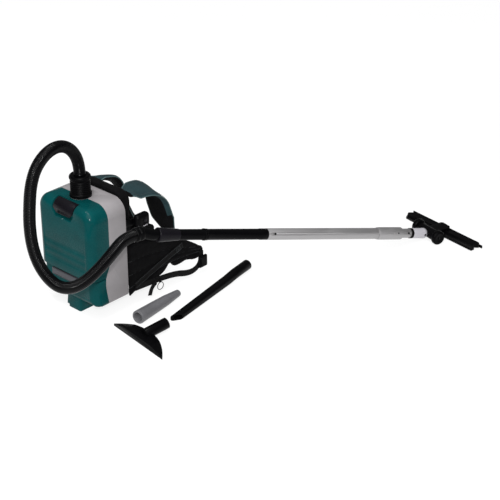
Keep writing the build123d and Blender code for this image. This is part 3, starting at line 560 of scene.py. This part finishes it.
def make_strap(name, side):
    """A padded shoulder strap: teal cover over spacer mesh, piping and two stitched seams."""
    segments = 48
    places = strap_places(name, side)
    rings, uvs = [], []
    for index, (point, across, outer, share) in enumerate(places):
        ring = []
        for k in range(segments):
            u, v = strap_section(2 * math.pi * k / segments)
            swell = 1 + 0.3 * noise.noise(point * 24 + across * (u * 1.1))
            dent = 1 - 0.25 * math.exp(-((abs(u) - STRAP_SEAM) / 0.05) ** 2)
            ring.append(point + across * (u * strap_half_width(share))
                        + outer * (v * STRAP_THICK / 2 * swell * dent))
            uvs.append((index * STRAP_STEP, u * STRAP_HALF))
        rings.append(ring)
    # the cover lies on the outward face and laps round the edge away from the middle
    first, last = (-7, segments // 2 + 2) if side > 0 else (-2, segments // 2 + 7)
    covered = round(COVER_SHARE * len(rings))

    def cover_or_mesh(k, ring):
        return int(ring < covered and (first <= k < last or first <= k - segments < last))

    strap = lofted(f"padded_strap_{name}", rings,
                   [FINISHES["pad_fabric"], FINISHES["strap_fabric"]], "unit",
                   uvs=uvs, face_material=cover_or_mesh)
    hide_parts(f"shoulder_strap_{name}")
    for edge in (-1, 1):
        where = "outer" if edge == side else "inner"
        rim = [point + across * (edge * strap_half_width(share))
               for point, across, _outer, share in places]
        bead(f"strap_piping_{name}_{where}", rim, 1.7 * MM, PIPING, "unit")
        seam = [point + across * (edge * STRAP_SEAM * strap_half_width(share))
                + outer * (0.36 * STRAP_THICK) for point, across, outer, share in places]
        stitches(f"strap_stitches_{name}_{where}", seam)


def rods(name, spans, radius, material, body, sides=6):
    """Short round bars from point to point, as one mesh."""
    points, faces = [], []
    for span in spans:
        base = len(points)
        for place in carried_frames(list(span), Vector((0.31, 0.2, 0.93))):
            points += circle_ring(place, radius, sides)
        for k in range(sides):
            after = (k + 1) % sides
            faces.append((base + k, base + after, base + sides + after, base + sides + k))
        faces.append(tuple(base + k for k in reversed(range(sides))))
        faces.append(tuple(base + sides + k for k in range(sides)))
    new_piece(name, points, faces, [material], body)


def stitches(name, line, length=3.4 * MM, gap=2.0 * MM, radius=0.45 * MM):
    """A row of short thread dashes along a line of the harness, as one mesh."""
    step = 0.4 * MM
    walked = even_steps(line, step)
    dash, stride = round(length / step), round((length + gap) / step)
    spans = [(walked[start], walked[min(start + dash, len(walked) - 1)])
             for start in range(0, len(walked) - dash // 2, stride)]
    rods(name, spans, radius, THREAD, "unit")


def puffed(node_name, new_name, voxel, cap, shrink, quilt):
    """A CAD soft solid remeshed and inflated by cloth simulation, its swelling capped."""
    source = nodes[node_name]
    mesh = source.data.copy()
    mesh.name = new_name
    low, high = corners_of(node_name)
    middle = (low + high) / 2
    for vertex in mesh.vertices:
        away = vertex.co - middle
        vertex.co = middle + Vector(a * b for a, b in zip(away, shrink))
    piece = bpy.data.objects.new(new_name, mesh)
    bpy.context.scene.collection.objects.link(piece)
    bpy.context.view_layer.objects.active = piece
    for other in bpy.context.selected_objects:
        other.select_set(False)
    piece.select_set(True)
    remesh = piece.modifiers.new("remesh", "REMESH")
    remesh.mode = "VOXEL"
    remesh.voxel_size = voxel
    bpy.ops.object.modifier_apply(modifier="remesh")
    rest = [vertex.co.copy() for vertex in piece.data.vertices]
    cloth = piece.modifiers.new("cloth", "CLOTH")
    cloth.settings.use_pressure = True
    cloth.settings.uniform_pressure_force = 4.0
    cloth.settings.effector_weights.gravity = 0.0
    cloth.settings.quality = 5
    cloth.collision_settings.use_collision = False
    for step in range(1, 21):
        bpy.context.scene.frame_set(step)
    bpy.ops.object.modifier_apply(modifier="cloth")
    bpy.context.scene.frame_set(1)
    for vertex, start in zip(piece.data.vertices, rest):
        moved = vertex.co - start
        if moved.length > cap:
            vertex.co = start + moved.normalized() * cap
    quilt(piece.data.vertices)
    refine = piece.modifiers.new("refine", "SUBSURF")
    refine.levels = 1
    refine.render_levels = 1
    piece.data.materials.clear()
    piece.data.materials.append(FINISHES["pad_fabric"])
    for face in piece.data.polygons:
        face.use_smooth = True
        face.material_index = 0
    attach(piece, "unit")
    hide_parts(node_name)
    return piece


def quilt_back(vertices):
    """Presses horizontal channels into the face towards the wearer."""
    for vertex in vertices:
        if vertex.co.y < PAD_FRONT:
            continue
        inside = 1 - eased(abs(vertex.co.x), 78 * MM, 90 * MM)
        for seam in PAD_SEAMS:
            near = (vertex.co.z - seam) / SEAM_SPREAD
            vertex.co.y -= PAD_CHANNEL * math.exp(-near * near) * inside


def wing_seam_lines(side):
    """The sewn channels of a waist wing, in the plane of its outer face."""
    return [smooth_line([Vector((side * WING_FACE, y * MM, z * MM)) for y, z in seam])
            for seam in WING_SEAMS]


def quilt_wing(side):
    """Pinches both faces of a waist wing along its sewn channels."""
    lines = [even_steps(line, 5 * MM) for line in wing_seam_lines(side)]
    middle = WING_MIDDLE * side

    def press(vertices):
        for vertex in vertices:
            near = min((point.yz - vertex.co.yz).length
                       for line in lines for point in line) / SEAM_SPREAD
            depth = vertex.co.x - middle
            vertex.co.x = middle + depth * (1 - WING_PINCH * math.exp(-near * near))

    return press


def make_pads():
    pad = puffed("back_pad", "back_cushion", 5 * MM, 4 * MM, (0.98, 0.86, 0.98), quilt_back)
    for name, side in SIDES:
        wing = puffed(f"waist_wing_{name}", f"waist_cushion_{name}", 4 * MM, 3.5 * MM,
                      (0.62, 0.985, 0.97), quilt_wing(side))


# (across, thickness) shares of half a band of webbing
WEB_PROFILE = ((-1.0, 0.0), (-0.94, 0.8), (-0.82, 1.0), (-0.6, 0.82), (-0.3, 0.9), (0.0, 0.82),
               (0.3, 0.9), (0.6, 0.82), (0.82, 1.0), (0.94, 0.8), (1.0, 0.0))


def web_band(name, line, flat_side, width, thick):
    """A strip of webbing: ribbed across, with thicker selvedges, its UVs in metres."""
    step = 3 * MM
    walked = even_steps(line, step)
    outline = WEB_PROFILE + tuple((u, -v) for u, v in reversed(WEB_PROFILE[1:-1]))
    rings, uvs = [], []
    for index, (point, across, up) in enumerate(carried_frames(walked, flat_side)):
        rings.append([point + across * (u * width / 2) + up * (v * thick / 2)
                      for u, v in outline])
        uvs += [(index * step, u * width / 2) for u, _v in outline]
    return lofted(name, rings, [FINISHES["webbing"]], "unit", uvs=uvs)


def box_stitch(name, corners):
    """The square with a cross that sews webbing down; corners run round the square."""
    a, b, c, d = corners
    for index, pair in enumerate(((a, b), (b, c), (c, d), (d, a), (a, c), (b, d))):
        stitches(f"{name}_{index}", list(pair), 2.6 * MM, 1.2 * MM, 0.4 * MM)


def in_belt_plane(side, points, lift=0.0):
    """Points of the flat belt, lifted off it by a given height for what lies on it."""
    return [Vector((side * (BELT_X + lift), y * MM, z * MM)) for y, z in points]


def stitch_belt_edges(name, side, line):
    """Two rows of stitches along the stretch of belt that is sewn to its wing."""
    shift = Vector((side * 1.3 * MM, 0, 0))
    walked = even_steps(line, 4 * MM)
    for edge, row in (("low", -1), ("high", 1)):
        seam = [point + up * (row * 8 * MM) + shift
                for point, up, _out in carried_frames(walked, UPRIGHT)]
        stitches(f"belt_stitches_{name}_{edge}", seam)


def make_belts():
    """The waist belt of both sides, its stitching, its loose tails and the key ring's loop."""
    for name, side in SIDES:
        sewn, loop = (smooth_line(in_belt_plane(side, run)) for run in BELT_RUNS.values())
        band = web_band(f"belt_sewn_{name}", sewn, UPRIGHT, BELT_WIDTH, BELT_THICK)
        stitch_belt_edges(name, side, sewn)
        web_band(f"belt_loop_{name}", loop, UPRIGHT, BELT_WIDTH, BELT_THICK)
        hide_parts(f"belt_webbing_{name}")
        box_stitch(f"belt_box_{name}", in_belt_plane(side, BELT_BOX, 1.4 * MM))
        tail = smooth_line(in_belt_plane(side, BELT_TAIL, 2.8 * MM))
        web_band(f"belt_tail_{name}", tail, Vector((0, 1, 0)), 16 * MM, 1.8 * MM)
    ring_top = Vector(joints["key_ring_swing"]["pos_m"])
    loop = [ring_top + mm(-2.6, 0, 12), ring_top + mm(-1.2, 0, 2.5), ring_top + mm(0, 0, -3.2),
            ring_top + mm(1.6, 0, 2.5), ring_top + mm(-0.6, 0, 12)]
    web_band("ring_loop", smooth_line(loop), Vector((0, 1, 0)), 8 * MM, 1.0 * MM)


def make_strap_webbing():
    """The webbing from each strap's tip, through its adjuster, back to the pad."""
    for name, side in SIDES:
        tip_y, tip_z = STRAP_ROUTES[name][-1]
        points = [(tip_y - 8, tip_z + 18), (tip_y + 0.6, tip_z - 1.5), (tip_y + 18, 122),
                  (tip_y - 22, 90), (190, 66), (113.4, 54)]
        line = smooth_line([Vector((side * STRAP_X, y * MM, z * MM)) for y, z in points])
        band = web_band(f"adjuster_webbing_{name}", line, Vector((1, 0, 0)), 25 * MM, 2.2 * MM)
        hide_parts(f"strap_webbing_{name}")


def make_wing_seams():
    """Thread along the wings' channels, sunk to where their pinched faces lie."""
    for name, side in SIDES:
        for index, line in enumerate(wing_seam_lines(side)):
            sunk = [point - Vector((side * 2.9 * MM, 0, 0)) for point in line]
            stitches(f"wing_stitches_{name}_{index}", sunk)


def make_bristles():
    """Tufts along both brush strips of the floor head."""
    pivot = Vector(joints["head_swivel"]["pos_m"])
    low, high = corners_of("brush_strips")
    along = Vector((math.cos(HEAD_YAW), math.sin(HEAD_YAW), 0))
    back = Vector((-math.sin(HEAD_YAW), math.cos(HEAD_YAW), 0))
    points, faces = [], []
    for row in TUFT_ROWS:
        for index in range(TUFTS_PER_ROW):
            share = index / (TUFTS_PER_ROW - 1) - 0.5
            foot = pivot + along * (share * TUFT_RUN) + back * row
            foot.z = high.z
            lean = along * (noise.noise(foot * 300) * 0.5 * MM)
            base = len(points)
            for radius, height, shift in ((1.5 * MM, 0.0, 0.0), (1.1 * MM, high.z - low.z, 1.0)):
                for k in range(6):
                    turn = math.pi * k / 3
                    points.append(foot + along * (math.cos(turn) * radius)
                                  + back * (math.sin(turn) * radius * 0.9)
                                  + lean * shift - Vector((0, 0, height)))
            for k in range(6):
                after = (k + 1) % 6
                faces.append((base + after, base + k, base + 6 + k, base + 6 + after))
            faces.append(tuple(base + 6 + k for k in reversed(range(6))))
            faces.append(tuple(base + k for k in range(6)))
    tufts = new_piece("bristle_tufts", points, faces, [FINISHES["soft_rubber"]], "head")
    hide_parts("brush_strips")


def make_trim():
    """Small moulded detail: latch grip, teeth round the hose cuff, pod lamps, collar catch."""
    graphite = FINISHES["dark_plastic"]
    low, _high = corners_of("cover_latch")
    grips = [[Vector((x * MM, low.y, low.z + step * MM)) for x in (-22, 22)]
             for step in (2.5, 5.5, 8.5)]
    rods("latch_grip", grips, 0.8 * MM, graphite, "latch", 8)

    _low, high = corners_of("inlet_cuff")
    teeth = []
    for k in range(CUFF_TEETH):
        turn = 2 * math.pi * k / CUFF_TEETH
        out = Vector((math.cos(turn), math.sin(turn), 0)) * 30.4 * MM
        teeth.append([out + Vector((0, 0, high.z - drop * MM)) for drop in (10.5, 3.5)])
    rods("cuff_teeth", teeth, 1.1 * MM, FINISHES["black_plastic"], "hose_set")

    _low, high = corners_of("control_pod")
    lamps = [[Vector((high.x + reach * MM, y * MM, 254 * MM)) for reach in (-1.0, 0.5)]
             for y in (122, 128, 134)]
    rods("pod_lamps", lamps, 1.7 * MM, FINISHES["light_plastic"], "unit", 16)

    seat = GRIP + WAND_DIR * COLLAR_CATCH_AT * MM
    dimple = [(seat + WAND_FACE * 18.9 * MM, seat + WAND_FACE * 19.9 * MM)]
    rods("collar_catch", dimple, 2.6 * MM, graphite, "lock_collar", 20)


def make_wheel_treads():
    """Two soft rings round each wheel of the floor head."""
    for name, _side in SIDES:
        axis = Vector(joints[f"wheel_spin_{name}"]["axis"])
        low, high = corners_of(f"head_wheel_{name}")
        middle = (low + high) / 2
        third = axis.cross(UPRIGHT)
        radius = (high.z - low.z) / 2 - 0.5 * MM
        for index, offset in enumerate((-2.2 * MM, 2.2 * MM)):
            rings = []
            for k in range(49):
                turn = 2 * math.pi * k / 48
                out = UPRIGHT * math.cos(turn) + third * math.sin(turn)
                centre = middle + axis * offset + out * (radius - 0.4 * MM)
                rings.append([centre + out * (math.cos(t) * 0.8 * MM)
                              + axis * (math.sin(t) * 1.3 * MM)
                              for t in (2 * math.pi * j / 8 for j in range(8))])
            lofted(f"wheel_tread_{name}_{index}", rings, [FINISHES["soft_rubber"]],
                   f"wheel_{name}", closed_ends=False)


# ----------------------------------------------------------------------------- the setting
def make_floor():
    """A pale floor that glows a little, so that it stays near white under soft light."""
    shade = Shade("studio_floor", 0.8, Specular_IOR_Level=0.0)
    tone = shade.noise(1.4, 2)
    shade.color(shade.blend(tone, (0.19, 0.19, 0.19), (0.21, 0.21, 0.21)))
    shade.surface.inputs["Emission Color"].default_value = (1.0, 1.0, 1.0, 1.0)
    shade.surface.inputs["Emission Strength"].default_value = 0.83
    half = 9.0
    low = -0.2 * MM
    floor = bpy.data.meshes.new("floor")
    floor.from_pydata([(-half, -half, low), (half, -half, low), (half, half, low),
                       (-half, half, low)], [], [(0, 1, 2, 3)])
    floor.materials.append(shade.material)
    piece = bpy.data.objects.new("floor", floor)
    bpy.context.scene.collection.objects.link(piece)


def aimed_light(name, kind, place, aim, power):
    data = bpy.data.lights.new(name, kind)
    data.energy = power
    light = bpy.data.objects.new(name, data)
    light.location = place
    light.rotation_euler = (Vector(aim) - Vector(place)).to_track_quat("-Z", "Y").to_euler()
    bpy.context.scene.collection.objects.link(light)
    return data


def softbox(name, place, aim, size, power):
    data = aimed_light(name, "AREA", place, aim, power)
    data.shape = "RECTANGLE"
    data.size, data.size_y = size


def make_world():
    """White to the camera; for light and reflections a dome that is dim at the horizon and
    brighter overhead, so blacks stay black."""
    world = bpy.data.worlds.new("studio")
    world.use_nodes = True
    tree = world.node_tree
    dome = tree.nodes["Background"]
    dome.inputs["Color"].default_value = (1.0, 1.0, 1.0, 1.0)
    where = tree.nodes.new("ShaderNodeTexCoord")
    height = tree.nodes.new("ShaderNodeSeparateXYZ")
    tree.links.new(where.outputs["Generated"], height.inputs["Vector"])
    climb = tree.nodes.new("ShaderNodeMapRange")
    for socket, value in (("From Min", 0.35), ("From Max", 0.95), ("To Min", 0.12),
                          ("To Max", 0.5)):
        climb.inputs[socket].default_value = value
    tree.links.new(height.outputs["Z"], climb.inputs["Value"])
    tree.links.new(climb.outputs["Result"], dome.inputs["Strength"])
    backdrop = tree.nodes.new("ShaderNodeBackground")
    backdrop.inputs["Color"].default_value = (1.0, 1.0, 1.0, 1.0)
    backdrop.inputs["Strength"].default_value = 1.0
    seen = tree.nodes.new("ShaderNodeLightPath")
    mix = tree.nodes.new("ShaderNodeMixShader")
    tree.links.new(seen.outputs["Is Camera Ray"], mix.inputs["Fac"])
    tree.links.new(dome.outputs["Background"], mix.inputs[1])
    tree.links.new(backdrop.outputs["Background"], mix.inputs[2])
    tree.links.new(mix.outputs["Shader"], tree.nodes["World Output"].inputs["Surface"])
    bpy.context.scene.world = world


def make_setting():
    """Floor, world, lights and the camera at the product view's angle."""
    make_floor()
    make_world()
    bpy.context.scene.view_settings.view_transform = "Standard"
    sun = aimed_light("day", "SUN", (1.5, -1.7, 2.4), (0.0, 0.0, 0.0), 2.0)
    sun.angle = math.radians(48)
    for lamp in SOFTBOXES:
        softbox(*lamp)
    camera = bpy.data.cameras.new("camera")
    camera.lens = 108
    camera.sensor_width = 36
    view = bpy.data.objects.new("camera", camera)
    view.location = CAMERA_PLACE
    view.rotation_euler = (math.radians(90 - CAMERA_DIP), 0, math.radians(CAMERA_TURN))
    bpy.context.scene.collection.objects.link(view)
    bpy.context.scene.camera = view


make_setting()
make_hose()
dress_cad_nodes()
for strap_name, strap_side in SIDES:
    make_strap(strap_name, strap_side)
make_pads()
make_wing_seams()
make_belts()
make_strap_webbing()
make_bristles()
make_wheel_treads()
make_trim()
